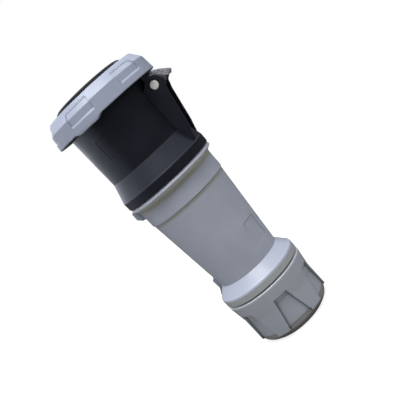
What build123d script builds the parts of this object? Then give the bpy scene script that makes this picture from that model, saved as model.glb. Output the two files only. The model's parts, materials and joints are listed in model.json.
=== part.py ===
from build123d import *
from math import cos, radians, sin, sqrt
import os

os.makedirs("parts", exist_ok=True)

# Frame: the axis is Z, the lid end is up, the gland end stands on z = 0, the hinge is on +X.
# Heights are stacked from the gland's end face up to the lid.
# Fits, clearances and edges
run_fit = 0.08          # pin in a turning hole, radial
slide_gap = 0.35        # between pieces that slide past each other
turn_gap = 0.4          # between pieces that turn on each other
seat_gap = 0.3          # seal face over the rim it closes on
edge_break = 0.6        # small edges
moulded_edge = 1.0      # larger moulded edges
root = 1.5              # how far a fused piece reaches into its carrier
cut_over = 5.0          # how far a cut runs past the surface
same_place = 0.01       # edges this close to a place are at it
far_out = 80.0          # beyond every outside, for cuts that run out

# Cable gland
gland_end_in = 7.0      # end ring inside the nut's shoulder, at the face it stands on
end_ring_h = 11.8       # end ring, from its face to the nut's recess floors
end_seat = 3.2          # how far the end ring's plug reaches into the nut
end_wall = 5.0          # wall of the end ring round the cable and at its plug
end_plug_in = 6.2       # its plug inside the nut's shoulder
end_round_z = 2.9       # where the end ring's round is fullest
end_round_in = 3.1      # its round inside the nut's shoulder
rib_reach = 4.0         # nut's ribs beyond the recess floors
nut_top = 58.6
nut_in = 0.1            # nut's front lip inside the flange
nut_draft = 2.9         # nut over the ribs at the end, inside its lip
nut_lip_h = 3.4
nut_round = 1.6
nut_shoulder_in = 0.1   # nut's shoulder inside the recess floors
nut_waist_low = 23.6    # where the nut's taper ends, below its top
nut_waist_add = 1.4     # nut at the recess tops, over nut_low_r
recess_depth = 2.3
recess_low = 14.6       # narrow end of the recesses, below the nut's top
recess_ramp = 5.0       # height of the slope at the narrow end
recess_top_half = 10.3  # half angle of a recess at its narrow end
recess_low_half = 19.8  # half angle of a recess at its wide end
recess_count = 6
recess_turn = -78.7     # angle of the first recess
nut_notch = 3.0         # depth of the notches the lock drops into
thread_r = 38.0
thread_pitch = 3.0
thread_depth = 0.9
thread_crest = 0.5      # width of the thread's flat crest
thread_base = 1.8       # width of the thread at its root
spigot_len = 25.5       # gland spigot below the flange
gland_wall = 5.0        # wall of the gland spigot with its thread
seal_wall = 8.65        # gland seal between the claw's round and the largest cable
throat_deep = 2.5       # end of the spigot's bore, above the flange's lower face
throat_step = 4.0       # shoulder at the end of the spigot's bore
seal_len = 22.0
seal_mouth = 2.5        # entry taper of the gland seal
claw_wall = 4.65
claw_slots = 10
claw_slot_w = 2.4
claw_hoop = 5.0         # height of the claw's whole ring above its slots
tooth_pitch = 3.4
tooth_depth = 1.4
tooth_h = 1.6
tooth_count = 4
washer_h = 1.7
washer_lap = 1.0        # washer inside the claw's bore
neck_seal_w = 2.0
neck_seal_h = 2.9
neck_seal_show = 0.5    # neck seal below the flange

# Rear housing
gap_line = 0.9          # dark line between nut and flange
flange_wall = 3.0       # flange outside the lock's key
flange_band = 8.5
flange_cone = 12.2
flange_round = 2.4
neck_in = 0.6           # neck inside the thread's crest
taper_len = 95.0
step_in = 1.4           # taper's end inside the band
step_h = 1.0
band_in = 5.4           # band inside the lip
band_len = 20.6
cove_h = 4.3
cove_r = 3.6
cove_arc = 62.0         # degrees
lip_in = 0.3            # lip inside the front housing at the seam
lip_h = 3.7
lip_slope = 1.2         # the lip leans in towards the seam
seam_edge = 0.8
rear_wall = 4.2
wall_lag = 4.0          # how far the inside steps lag behind the outside
spigot_wall = 5.4       # spigot that carries the front housing
ring_seal_w = 3.2       # groove of the seal between the housings
ring_seal_deep = 2.6
ring_seal_up = 4.0      # groove above the seam
ring_seal_play = 0.2
field_w = 20.0          # bare label field on the taper
field_h = 27.0
field_up = 27.0         # its middle above the neck
field_deep = 0.5
field_round = 2.5
field_turn = -34.0

# Housing latch and nut lock, on the -X side
latch_half = 5.0
latch_slot_deep = 3.8   # floor of the latch's slot under the band
latch_foot_in = 0.4     # foot of the latch under the band
latch_pad_out = 2.8     # thumb pad beyond the lip
latch_tongue_gap = 0.6  # tongue outside the spigot
latch_tongue_t = 4.2
latch_tongue_up = 2.5   # tongue above the seam
latch_low = 19.5        # foot of the latch below the seam
latch_pad_top = 4.8     # thumb pad, from and to, below the seam
latch_pad_low = 12.8
latch_ramp = 4.4        # slope under the thumb pad
latch_travel = 4.0
lock_half = 4.0
lock_web = 1.0          # wall between the neck seal and the lock's key
lock_key_t = 3.6
lock_pad_out = 0.7      # thumb pad beyond the key's inner face
lock_key_top = 72.0
lock_step_z = 78.4      # where the key's slope meets the thumb slide
lock_top = 89.9
lock_travel = 3.5
lock_fit = 0.45         # slide over the taper

# Front housing
flare_out = 6.0         # flare beyond the waist
seam_in = 0.3           # seam inside the flare
flare_band = 10.8
flare_h = 19.8
collar_draft = 1.0      # waist inside the front
front_r = 49.0
collar_len = 102.2
rim_edge = 1.2
collar_wall = 6.5
mouth_step = 2.9        # rear bore beyond the collar bore
carrier_seat_up = 36.2  # the carrier's seat above the seam
lug_h = 3.6
lug_reach = 6.0
lug_round = 0.8
stop_w = 7.5            # degrees
stop_gap = 2.5          # degrees between hook and stop when locked
stop_drop = 2.2         # stop below the lugs
key_w = 8.0
key_depth = 2.6
key_up = 6.0            # foot of the keyway above the carrier's seat
frame_line = 0.55       # width and depth of the bare label frame
frame_turn = -100.9
frame_w = 27.9
frame_h = 22.5
frame_low = 38.7        # its middle below the rim
frame_round = 0.9

# Hinge
pin_r = 4.5
pin_short = 0.5         # pin end inside the ear's outer face
hinge_out = 6.2         # pin outside the front housing
hinge_low = 25.0        # pin below the rim
ear_gap = 1.3           # between the lid's knuckles and the ears
ear_t = 7.2
ear_r = 10.2
ear_tuck = 0.1          # plate's upper edge inside the boss
ear_sink = 1.2
ear_sink_r = 5.8
ear_top_up = 1.5        # plate's upper corner on the collar, above the pin
ear_flat = 2.6          # where the ear leaves its boss, below the pin
ear_turn_x = 6.2        # where the ear's outer edge turns in, from the pin
ear_turn_low = 13.0
ear_foot_x = 1.2
ear_foot_up = 4.0
ear_toe = 4.0           # toe of the ear inside the flare's radius
ear_toe_up = 1.5
ear_root = 6.0          # how deep the ears start inside the waist
bore_clear = 1.2        # ears stay clear of the rear bore
knuckle_r = 8.5
knuckle_room = 0.6
knuckle_in = 6.3
arm_half = 15.5
arm_gap_in = 1.3        # arm outside the housing
arm_gap_out = 0.9       # arm inside the ring
wire_r = 0.6
coil_r = 5.55
coil_pitch = 1.45
coil_turns = 6
spring_leg = 15.0

# Lid and ring
ring_clear = 3.0        # ring outside the lugs
ring_wall = 5.3
ring_draft = 1.3
ring_cone_w = 7.5
ring_cone_h = 10.0
ring_h = 25.8
ring_rise = 14.8        # ring's front face above the rim
ring_face = 3.2
ring_edge = 0.5
tab_h = 2.6
tab_turn = -101.0       # tabs with the ring unlocked
tab_top_half = 16.0     # degrees at the ring
tab_low_half = 10.5     # degrees at the tab's end
lock_swing = 29.0       # degrees that the ring turns
hook_gap_in = 2.6       # hooks outside the front housing
hook_h = 3.8
pocket_half = 14.2      # degrees
pocket_top = 3.6        # upper edge of the pockets, below the ring's front face
pocket_low = 19.3       # lower edge
pocket_deep = 1.25
pocket_ramp_top = 0.9   # heights of the slopes at both edges
pocket_ramp_low = 1.9
pocket_round = 1.2
pocket_count = 6
pocket_turn = -99.7
cap_lap = 4.5           # cap over the ring's inner edge
cap_edge_h = 1.4
cap_shoulder_w = 5.4
cap_shoulder_h = 2.8
cap_rise = 2.0
hub_in = 10.1           # lid's hub inside the collar's front
lid_disc_h = 7.0
lid_face_deep = 1.6     # inner face of the lid inside the seal
lid_bead_w = 2.4
lid_bead_h = 1.4
skirt_gap = 2.0         # skirt outside the collar
skirt_wall = 2.4
skirt_lap = 4.0         # skirt below the rim
glide_h = 1.0
glide_edge = 2.6
seal_half_w = 3.4
cap_screws_r = 26.0
cap_screws = 3
cap_screws_turn = 60.0
cap_screw_deep = 4.5
lever_half = 15.5
lever_t = 4.6
lever_root_out = 5.3    # lever's root and tip from the pin
lever_root_up = 12.4
lever_tip_out = 19.6
lever_tip_up = 1.7
lever_heel = 8.0
web_t = 3.2
web_toe_out = 10.2      # lower corner of the webs from the pin
web_toe_low = 4.4
web_root_out = 2.0
web_root_up = 6.0
rib_r = 0.55
rib_count = 7
rib_from = 0.28         # shares of the lever's length
rib_step = 0.105

# Contacts, a five-pole insert with a pilot
pitch_r = 21.0
pole_step = 72.0
pin_line_r = 5.0
pin_earth_r = 6.0
pin_pilot_r = 3.0
line_deep = 42.0
earth_deep = 44.0
pilot_deep = 30.0
line_slot = 1.2
earth_slot = 1.4
pilot_slot = 0.9
slot_share = 0.62       # slot length as a share of the bore
sleeve_wall = 2.0
pilot_wall = 1.4
wire_wall = 1.8
barrel_add = 0.8        # barrel beyond the sleeve radius
collar_add = 1.8        # collar beyond the sleeve radius
sleeve_sink = 4.0       # sleeve below the carrier's face
mouth_gap = 0.4         # pin mouth beyond the pin
carrier_h = 50.0
carrier_r = 33.5
carrier_flange_h = 8.0
plate_h = 4.0
plate_gap = 1.2
barrel_len = 26.0
collar_h = 3.0
wire_deep = 20.0
earth_turn = 180.0
carrier_screws_r = 30.5
carrier_screw_deep = 11.0
screw_r = 1.9
screw_head_r = 3.3
screw_head_h = 2.4
cross_len = 3.6
cross_w = 0.9
cross_deep = 1.3
clamp_screw_r = 3.0
pilot_screw_r = 1.8
clamp_screw_in = 3.2    # screw end inside the sleeve's radius
clamp_screw_out = 3.0
clamp_screw_edge = 0.55
hex_share = 0.55

# Heights and radii that follow
neck_r = thread_r - neck_in
spigot_bore_r = thread_r - gland_wall
claw_r = spigot_bore_r - slide_gap
gland_bore_r = claw_r - seal_wall
claw_bore_r = claw_r - claw_wall
lock_in_r = thread_r + turn_gap + neck_seal_w + lock_web
lock_out_r = lock_in_r + lock_key_t
lock_pad_r = lock_in_r + lock_pad_out
flange_r = lock_out_r + flange_wall
nut_r = flange_r - nut_in
nut_low_r = nut_r - nut_draft
recess_floor_r = nut_low_r - recess_depth
nut_shoulder_r = recess_floor_r - nut_shoulder_in
gland_end_r = nut_shoulder_r - gland_end_in
end_plug_r = nut_shoulder_r - end_plug_in
end_round_r = nut_shoulder_r - end_round_in
waist_r = front_r - collar_draft
flare_r = waist_r + flare_out
seam_r = flare_r - seam_in
lip_r = seam_r - lip_in
band_r = lip_r - band_in
step_r = band_r - step_in
collar_bore_r = front_r - collar_wall
hub_r = front_r - hub_in
recess_top = nut_top - recess_low
nut_waist_z = nut_top - nut_waist_low
nut_end_z = end_ring_h - rib_reach
flange_z = nut_top + gap_line
spigot_low = flange_z - spigot_len
seal_top = flange_z + throat_deep
claw_top = seal_top - seal_len
neck_z = flange_z + flange_band + flange_cone
step_z = neck_z + taper_len
cove_z = step_z + band_len
lip_z = cove_z + cove_h
seam_z = lip_z + lip_h
flare_top = seam_z + flare_band
waist_z = flare_top + flare_h
rim_z = seam_z + collar_len
rear_bore_r = collar_bore_r + mouth_step
spigot_in_r = rear_bore_r - spigot_wall
latch_floor_r = band_r - latch_slot_deep
latch_foot_r = band_r - latch_foot_in
latch_pad_r = lip_r + latch_pad_out
latch_tongue_in = rear_bore_r + latch_tongue_gap
latch_tongue_r = latch_tongue_in + latch_tongue_t
carrier_seat_z = seam_z + carrier_seat_up
carrier_top = carrier_seat_z + carrier_h
carrier_low = carrier_seat_z - carrier_flange_h
sleeve_top = carrier_top - sleeve_sink
barrel_low = carrier_low - barrel_len
clamp_z = barrel_low + wire_deep / 2
hinge_x = front_r + hinge_out
hinge_z = rim_z - hinge_low
ear_in = arm_half + ear_gap
ear_out = ear_in + ear_t
lug_out = front_r + lug_reach
ring_in_r = lug_out + ring_clear
ring_back_r = ring_in_r + ring_wall
ring_edge_r = ring_back_r - ring_draft
ring_front_r = ring_edge_r - ring_cone_w
ring_front_z = rim_z + ring_rise
ring_edge_z = ring_front_z - ring_cone_h
ring_back_z = ring_front_z - ring_h
ring_low = ring_back_z - tab_h
lug_low = ring_low + hook_h + slide_gap
locked_turn = tab_turn - lock_swing
lug_to = locked_turn + tab_low_half
stop_to = locked_turn - tab_low_half - stop_gap
stop_from = stop_to - stop_w
cap_r = hub_r + cap_lap
skirt_in_r = front_r + skirt_gap
skirt_low_z = rim_z - skirt_lap
lid_disc_r = skirt_in_r + skirt_wall / 2
lever_root_x = hinge_x + lever_root_out
lever_root_z = hinge_z + lever_root_up
lever_tip_x = hinge_x + lever_tip_out
lever_tip_z = hinge_z + lever_tip_up


def turned(points):
    """A ring or solid turned about Z from its half section, points as (radius, height)."""
    with BuildPart() as body:
        with BuildSketch(Plane.XZ):
            with BuildLine():
                Polyline(*points, close=True)
            make_face()
        revolve(axis=Axis.Z)
    return body.part


def sector(points, start, end):
    """The same section turned only from one angle to another, in degrees from +X."""
    with BuildPart() as body:
        with BuildSketch(Plane.XZ):
            with BuildLine():
                Polyline(*points, close=True)
            make_face()
        revolve(axis=Axis.Z, revolution_arc=end - start)
    # the first face is found from the middle of the body, whichever way it was turned
    middle = body.part.center()
    now = Vector(1, 0, 0).get_signed_angle(Vector(middle.X, middle.Y, 0), Vector(0, 0, 1))
    return body.part.rotate(Axis.Z, (start + end) / 2 - now)


def box_at(r_in, r_out, half_w, z_low, z_high):
    """A block on the -X side between two radii."""
    with BuildPart() as body:
        with Locations((-(r_in + r_out) / 2, 0, (z_low + z_high) / 2)):
            Box(r_out - r_in, 2 * half_w, z_high - z_low)
    return body.part


def taper_at(height):
    """Outer radius of the rear housing's taper."""
    return neck_r + (step_r - neck_r) * (height - neck_z) / taper_len


def polar_spot(radius, turn):
    """A place in the plan at a radius and an angle."""
    return (radius * cos(radians(turn)), radius * sin(radians(turn)))


# Rear housing: turned shell, gland spigot below, spigot into the front housing above
cone_in_r = step_r - rear_wall
neck_in_r = neck_r - rear_wall
throat_r = spigot_bore_r - throat_step
thread_core_r = thread_r - thread_depth
cove_out = cove_r * (1 - cos(radians(cove_arc)))
cove_up = cove_r * sin(radians(cove_arc))

with BuildPart() as rear_housing:
    with BuildSketch(Plane.XZ):
        with BuildLine():
            Polyline(
                (spigot_bore_r, spigot_low),
                (thread_core_r - moulded_edge, spigot_low),
                (thread_core_r, spigot_low + moulded_edge),
                (thread_core_r, flange_z),
                (flange_r - edge_break, flange_z),
                (flange_r, flange_z + edge_break),
                (flange_r, flange_z + flange_band - flange_round / 2),
                (flange_r - flange_round / 5, flange_z + flange_band + flange_round / 4),
                (flange_r - flange_round * 3 / 4, flange_z + flange_band + flange_round * 3 / 4),
                (neck_r, neck_z),
                (step_r, step_z),
                (step_r + step_h, step_z + step_h),
                (band_r, cove_z - moulded_edge),
            )
            JernArc((band_r, cove_z - moulded_edge), (0, 1), cove_r, -cove_arc)
            Polyline(
                (band_r + cove_out, cove_z - moulded_edge + cove_up),
                (lip_r, lip_z),
                (lip_r, lip_z + lip_h / 3),
                (lip_r - lip_slope, seam_z),
                (rear_bore_r, seam_z),
                (rear_bore_r, seam_z + ring_seal_up),
                (rear_bore_r - ring_seal_deep, seam_z + ring_seal_up),
                (rear_bore_r - ring_seal_deep, seam_z + ring_seal_up + ring_seal_w),
                (rear_bore_r, seam_z + ring_seal_up + ring_seal_w),
                (rear_bore_r, carrier_low - moulded_edge),
                (rear_bore_r - moulded_edge, carrier_low),
                (spigot_in_r, carrier_low),
                (spigot_in_r, seam_z),
                (cone_in_r, cove_z - wall_lag),
                (cone_in_r, step_z + wall_lag),
                (neck_in_r, neck_z + wall_lag),
                (throat_r, neck_z - flange_cone / 2),
                (throat_r, seal_top),
                (spigot_bore_r, seal_top),
                (spigot_bore_r, spigot_low),
            )
        make_face()
    revolve(axis=Axis.Z)
    # thread ridge on the gland spigot, fused a little into the core
    with BuildPart(mode=Mode.PRIVATE) as ridge:
        with BuildLine() as turn_path:
            turn_line = Helix(
                pitch=thread_pitch,
                height=spigot_len - 3 * thread_pitch,
                radius=thread_core_r,
                center=(0, 0, spigot_low + thread_pitch + thread_base / 2),
            )
        with BuildSketch(Plane(origin=turn_line @ 0, x_dir=(1, 0, 0), z_dir=turn_line % 0)):
            Polygon(
                (-thread_depth / 3, -thread_base / 2),
                (thread_depth, -thread_crest / 2),
                (thread_depth, thread_crest / 2),
                (-thread_depth / 3, thread_base / 2),
                align=None,
            )
        sweep(path=turn_path.wires()[0], is_frenet=True)
    add(ridge.part)
    # groove for the neck seal in the flange's lower face
    add(
        turned([
            (thread_r + turn_gap, flange_z - cut_over),
            (thread_r + turn_gap + neck_seal_w, flange_z - cut_over),
            (thread_r + turn_gap + neck_seal_w, flange_z + neck_seal_h - neck_seal_show),
            (thread_r + turn_gap, flange_z + neck_seal_h - neck_seal_show),
        ]),
        mode=Mode.SUBTRACT,
    )
    # slots of the housing latch and of the nut lock
    latch_slot_low = seam_z - latch_low - latch_travel - 2 * slide_gap
    add(
        box_at(latch_floor_r, lip_r + cut_over, latch_half + slide_gap, latch_slot_low, seam_z + slide_gap),
        mode=Mode.SUBTRACT,
    )
    add(
        box_at(
            lock_in_r - slide_gap,
            lock_out_r + slide_gap,
            lock_half + slide_gap,
            flange_z - cut_over,
            neck_z + moulded_edge,
        ),
        mode=Mode.SUBTRACT,
    )
    add(
        box_at(
            neck_r - edge_break,
            lock_in_r,
            lock_half + slide_gap,
            lock_step_z - lock_travel - 2 * slide_gap,
            neck_z + moulded_edge,
        ),
        mode=Mode.SUBTRACT,
    )
    # bare label field, set into the taper
    field_z = neck_z + field_up
    with BuildPart(mode=Mode.PRIVATE) as field:
        with BuildSketch(Plane(origin=(0, 0, field_z), x_dir=(0, -1, 0), z_dir=(1, 0, 0))):
            RectangleRounded(field_w, field_h, field_round)
        extrude(amount=far_out)
        add(
            turned([
                (0, field_z - field_h),
                (taper_at(field_z - field_h) - field_deep, field_z - field_h),
                (taper_at(field_z + field_h) - field_deep, field_z + field_h),
                (0, field_z + field_h),
            ]),
            mode=Mode.SUBTRACT,
        )
    add(field.part.rotate(Axis.Z, field_turn), mode=Mode.SUBTRACT)
rear_housing.part.label = "rear_housing"

# Front housing: socket collar with hinge ears, bayonet lugs and a keyway
lug_in_r = front_r - root
hinge_spot = (hinge_x, hinge_z)

with BuildPart() as front_housing:
    with BuildSketch(Plane.XZ):
        with BuildLine():
            Polyline(
                (rear_bore_r, seam_z),
                (seam_r - seam_edge, seam_z),
                (seam_r, seam_z + seam_edge),
                (flare_r, flare_top - moulded_edge),
                (flare_r - edge_break, flare_top + edge_break),
                (waist_r, waist_z),
                (front_r, rim_z - rim_edge),
                (front_r - rim_edge, rim_z),
                (collar_bore_r + moulded_edge, rim_z),
                (collar_bore_r, rim_z - moulded_edge),
                (collar_bore_r, carrier_seat_z),
                (rear_bore_r, carrier_seat_z),
                close=True,
            )
        make_face()
    revolve(axis=Axis.Z)
    # ears: a boss round the pin and a plate that runs out into the flare
    with BuildPart(mode=Mode.PRIVATE) as ears:
        for side in (1, -1):
            with BuildSketch(Plane.XZ.offset(side * ear_in)):
                with Locations(hinge_spot):
                    Circle(ear_r)
                with BuildLine():
                    Polyline(
                        (waist_r - ear_root, hinge_z + ear_top_up),
                        (hinge_x - moulded_edge, hinge_z + ear_r - ear_tuck),
                        (hinge_x + ear_r - turn_gap, hinge_z - ear_flat),
                        (hinge_x + ear_turn_x, hinge_z - ear_turn_low),
                        (hinge_x - ear_foot_x, waist_z - ear_foot_up),
                        (flare_r - ear_toe, flare_top + ear_toe_up),
                        (waist_r - ear_root, flare_top + ear_toe_up),
                        close=True,
                    )
                make_face()
            extrude(amount=side * ear_t)
        add(
            turned([
                (0, seam_z),
                (rear_bore_r + bore_clear, seam_z),
                (rear_bore_r + bore_clear, rim_z),
                (0, rim_z),
            ]),
            mode=Mode.SUBTRACT,
        )
    add(ears.part)
    ear_rims = front_housing.edges().filter_by(
        lambda e: abs(abs(e.center().Y) - ear_out) < same_place and e.center().X > front_r - ear_toe
    )
    outer_rims = [e for e in ear_rims if e.geom_type in (GeomType.LINE, GeomType.CIRCLE)]
    chamfer(outer_rims, edge_break)
    # pocket that lets the lid's knuckles turn, pin bore and the sinks round the pin ends
    with BuildSketch(Plane.XZ):
        with Locations(hinge_spot):
            Circle(knuckle_r + knuckle_room)
    extrude(amount=ear_in, both=True, mode=Mode.SUBTRACT)
    with BuildSketch(Plane.XZ):
        with Locations(hinge_spot):
            Circle(pin_r)
    extrude(amount=ear_out + cut_over, both=True, mode=Mode.SUBTRACT)
    for side in (1, -1):
        with BuildSketch(Plane.XZ.offset(side * (ear_out - ear_sink))):
            with Locations(hinge_spot):
                Circle(ear_sink_r)
        extrude(amount=side * cut_over, mode=Mode.SUBTRACT)
    # two bayonet lugs, each with a stop at its far end
    lug_section = [
        (lug_in_r, lug_low),
        (lug_out, lug_low),
        (lug_out, lug_low + lug_h - lug_round),
        (lug_out - lug_round, lug_low + lug_h),
        (lug_in_r, lug_low + lug_h + lug_round),
    ]
    stop_section = [
        (lug_in_r, lug_low - stop_drop),
        (lug_out - lug_round, lug_low - stop_drop),
        (lug_out, lug_low - stop_drop + lug_round),
        (lug_out, lug_low + lug_h - lug_round),
        (lug_out - lug_round, lug_low + lug_h),
        (lug_in_r, lug_low + lug_h),
    ]
    for turn in (0, 180):
        add(sector(lug_section, stop_from + turn, lug_to + turn))
        add(sector(stop_section, stop_from + turn, stop_to + turn))
    # keyway in the collar and notch for the latch
    add(
        box_at(
            collar_bore_r - cut_over,
            collar_bore_r + key_depth,
            key_w / 2,
            carrier_seat_z + key_up,
            rim_z + cut_over,
        ),
        mode=Mode.SUBTRACT,
    )
    add(
        box_at(
            rear_bore_r - moulded_edge,
            latch_tongue_r + slide_gap,
            latch_half + slide_gap,
            seam_z - cut_over,
            seam_z + latch_tongue_up + slide_gap,
        ),
        mode=Mode.SUBTRACT,
    )
    # bare label frame, a fine engraved line
    with BuildPart(mode=Mode.PRIVATE) as frame_cut:
        with BuildSketch(Plane(origin=(0, 0, rim_z - frame_low), x_dir=(0, -1, 0), z_dir=(1, 0, 0))):
            RectangleRounded(frame_w, frame_h, frame_round)
            RectangleRounded(
                frame_w - 2 * frame_line,
                frame_h - 2 * frame_line,
                frame_round - frame_line,
                mode=Mode.SUBTRACT,
            )
        extrude(amount=far_out)
        add(
            turned([
                (0, waist_z),
                (waist_r - frame_line, waist_z),
                (front_r - frame_line, rim_z),
                (0, rim_z),
            ]),
            mode=Mode.SUBTRACT,
        )
    add(frame_cut.part.rotate(Axis.Z, frame_turn), mode=Mode.SUBTRACT)
front_housing.part.label = "front_housing"

# Seal between the two housings, in the spigot's groove
seal_in_r = rear_bore_r - ring_seal_deep
seal_from = seam_z + ring_seal_up + ring_seal_play
seal_to = seam_z + ring_seal_up + ring_seal_w - ring_seal_play
with BuildPart() as housing_seal:
    add(
        turned([
            (seal_in_r, seal_from),
            (rear_bore_r - edge_break, seal_from),
            (rear_bore_r, seal_from + edge_break),
            (rear_bore_r, seal_to - edge_break),
            (rear_bore_r - edge_break, seal_to),
            (seal_in_r, seal_to),
        ])
    )
housing_seal.part.label = "housing_seal"

# Contact carrier and the plate that holds the contacts in it
line_turns = [earth_turn + pole_step * n for n in range(1, 5)]
line_sleeve_r = pin_line_r + sleeve_wall
earth_sleeve_r = pin_earth_r + sleeve_wall
pilot_sleeve_r = pin_pilot_r + pilot_wall
screw_turns = [earth_turn + pole_step / 2, earth_turn + 180, earth_turn - pole_step / 2]
screw_spots = [polar_spot(carrier_screws_r, turn) for turn in screw_turns]

# every contact as (place, pin radius, sleeve radius)
contact_places = [(polar_spot(pitch_r, turn), pin_line_r, line_sleeve_r) for turn in line_turns]
contact_places.append((polar_spot(pitch_r, earth_turn), pin_earth_r, earth_sleeve_r))
contact_places.append(((0, 0), pin_pilot_r, pilot_sleeve_r))

with BuildPart() as contact_carrier:
    add(
        turned([
            (0, carrier_low),
            (rear_bore_r, carrier_low),
            (rear_bore_r, carrier_seat_z),
            (carrier_r, carrier_seat_z),
            (carrier_r, carrier_top - rim_edge),
            (carrier_r - rim_edge, carrier_top),
            (0, carrier_top),
        ])
    )
    # each contact has a seat for its collar, a sleeve hole and a pin mouth
    for spot, pin, sleeve in contact_places:
        with BuildSketch(Plane.XY.offset(carrier_low)):
            with Locations(spot):
                Circle(sleeve + collar_add)
        extrude(amount=collar_h, mode=Mode.SUBTRACT)
        with BuildSketch(Plane.XY.offset(carrier_low)):
            with Locations(spot):
                Circle(sleeve)
        extrude(amount=sleeve_top - carrier_low, mode=Mode.SUBTRACT)
        with BuildSketch(Plane.XY.offset(sleeve_top)):
            with Locations(spot):
                Circle(pin + mouth_gap)
        extrude(amount=sleeve_sink, mode=Mode.SUBTRACT)
    with BuildSketch(Plane.XY.offset(carrier_low)):
        with Locations(*screw_spots):
            Circle(screw_r)
    extrude(amount=carrier_screw_deep + moulded_edge, mode=Mode.SUBTRACT)
contact_carrier.part.label = "contact_carrier"

plate_low = carrier_low - plate_h
plate_r = spigot_in_r - plate_gap
with BuildPart() as carrier_plate:
    with BuildSketch(Plane.XY.offset(plate_low)):
        Circle(plate_r)
        for spot, pin, sleeve in contact_places:
            with Locations(spot):
                Circle(sleeve + barrel_add, mode=Mode.SUBTRACT)
        with Locations(*screw_spots):
            Circle(screw_r, mode=Mode.SUBTRACT)
    extrude(amount=plate_h)
    lower_rim = carrier_plate.edges().filter_by(GeomType.CIRCLE).filter_by(
        lambda e: e.radius > plate_r - same_place and e.center().Z < plate_low + same_place
    )
    chamfer(lower_rim, edge_break)
carrier_plate.part.label = "carrier_plate"


def contact(pin, sleeve, deep, slot_w, screw):
    """A socket contact: slotted sleeve, collar, barrel with a wire hole and a clamp screw hole."""
    barrel = sleeve + barrel_add
    with BuildPart() as body:
        add(
            turned([
                (0, barrel_low),
                (barrel - edge_break, barrel_low),
                (barrel, barrel_low + edge_break),
                (barrel, carrier_low),
                (sleeve + collar_add, carrier_low),
                (sleeve + collar_add, carrier_low + collar_h),
                (sleeve, carrier_low + collar_h),
                (sleeve, sleeve_top - edge_break),
                (sleeve - edge_break, sleeve_top),
                (0, sleeve_top),
            ])
        )
        with BuildSketch(Plane.XY.offset(sleeve_top)):
            Circle(pin)
        extrude(amount=-deep, mode=Mode.SUBTRACT)
        with BuildSketch(Plane.XY.offset(barrel_low)):
            Circle(sleeve - wire_wall)
        extrude(amount=wire_deep, mode=Mode.SUBTRACT)
        with BuildSketch(Plane.XY.offset(sleeve_top)):
            Rectangle(2 * sleeve + cut_over, slot_w)
            Rectangle(slot_w, 2 * sleeve + cut_over)
        extrude(amount=-deep * slot_share, mode=Mode.SUBTRACT)
        with BuildSketch(Plane.YZ):
            with Locations((0, clamp_z)):
                Circle(screw)
        extrude(amount=barrel + cut_over, mode=Mode.SUBTRACT)
    return body.part


def contact_at(shape, turn):
    """The contact carried out to its pitch radius, screw side outward."""
    return shape.moved(Location((pitch_r, 0, 0))).rotate(Axis.Z, turn)


line_contact = contact(pin_line_r, line_sleeve_r, line_deep, line_slot, clamp_screw_r)
contact_l1 = contact_at(line_contact, line_turns[0])
contact_l1.label = "contact_l1"
contact_l2 = contact_at(line_contact, line_turns[1])
contact_l2.label = "contact_l2"
contact_l3 = contact_at(line_contact, line_turns[2])
contact_l3.label = "contact_l3"
contact_neutral = contact_at(line_contact, line_turns[3])
contact_neutral.label = "contact_neutral"
contact_earth = contact_at(
    contact(pin_earth_r, earth_sleeve_r, earth_deep, earth_slot, clamp_screw_r), earth_turn
)
contact_earth.label = "contact_earth"
contact_pilot = contact(pin_pilot_r, pilot_sleeve_r, pilot_deep, pilot_slot, pilot_screw_r)
contact_pilot.label = "contact_pilot"


def clamp_screw(sleeve):
    """A clamp screw lying on +X in a contact's barrel, socket in its outer end."""
    inner = sleeve - clamp_screw_in
    outer = sleeve + barrel_add + clamp_screw_out
    with BuildPart() as body:
        with BuildSketch(Plane.YZ.offset(inner)):
            with Locations((0, clamp_z)):
                Circle(clamp_screw_r)
        extrude(amount=outer - inner)
        chamfer(body.edges().filter_by(GeomType.CIRCLE), clamp_screw_edge)
        with BuildSketch(Plane.YZ.offset(outer)):
            with Locations((0, clamp_z)):
                RegularPolygon(clamp_screw_r * hex_share, 6)
        extrude(amount=-clamp_screw_r, mode=Mode.SUBTRACT)
    return body.part


line_screw = clamp_screw(line_sleeve_r)
with BuildPart() as terminal_screws:
    for turn in line_turns:
        add(contact_at(line_screw, turn))
    add(contact_at(clamp_screw(earth_sleeve_r), earth_turn))
terminal_screws.part.label = "terminal_screws"


def head_screws(spots, head_z, length):
    """Screws pointing up, the underside of their cross-slotted heads at head_z."""
    with BuildPart() as body:
        with BuildSketch(Plane.XY.offset(head_z - screw_head_h)):
            with Locations(*spots):
                Circle(screw_head_r)
        extrude(amount=screw_head_h)
        with BuildSketch(Plane.XY.offset(head_z)):
            with Locations(*spots):
                Circle(screw_r)
        extrude(amount=length)
        with BuildSketch(Plane.XY.offset(head_z - screw_head_h)):
            with Locations(*spots):
                Rectangle(cross_len, cross_w)
                Rectangle(cross_w, cross_len)
        extrude(amount=cross_deep, mode=Mode.SUBTRACT)
    return body.part


carrier_screws = head_screws(screw_spots, plate_low, plate_h + carrier_screw_deep)
carrier_screws.label = "carrier_screws"

# Hinge pin and the torsion spring round it
with BuildPart() as hinge_pin:
    with BuildSketch(Plane.XZ):
        with Locations(hinge_spot):
            Circle(pin_r)
    extrude(amount=ear_out - pin_short, both=True)
    chamfer(hinge_pin.edges().filter_by(GeomType.CIRCLE), turn_gap)
hinge_pin.part.label = "hinge_pin"

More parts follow.
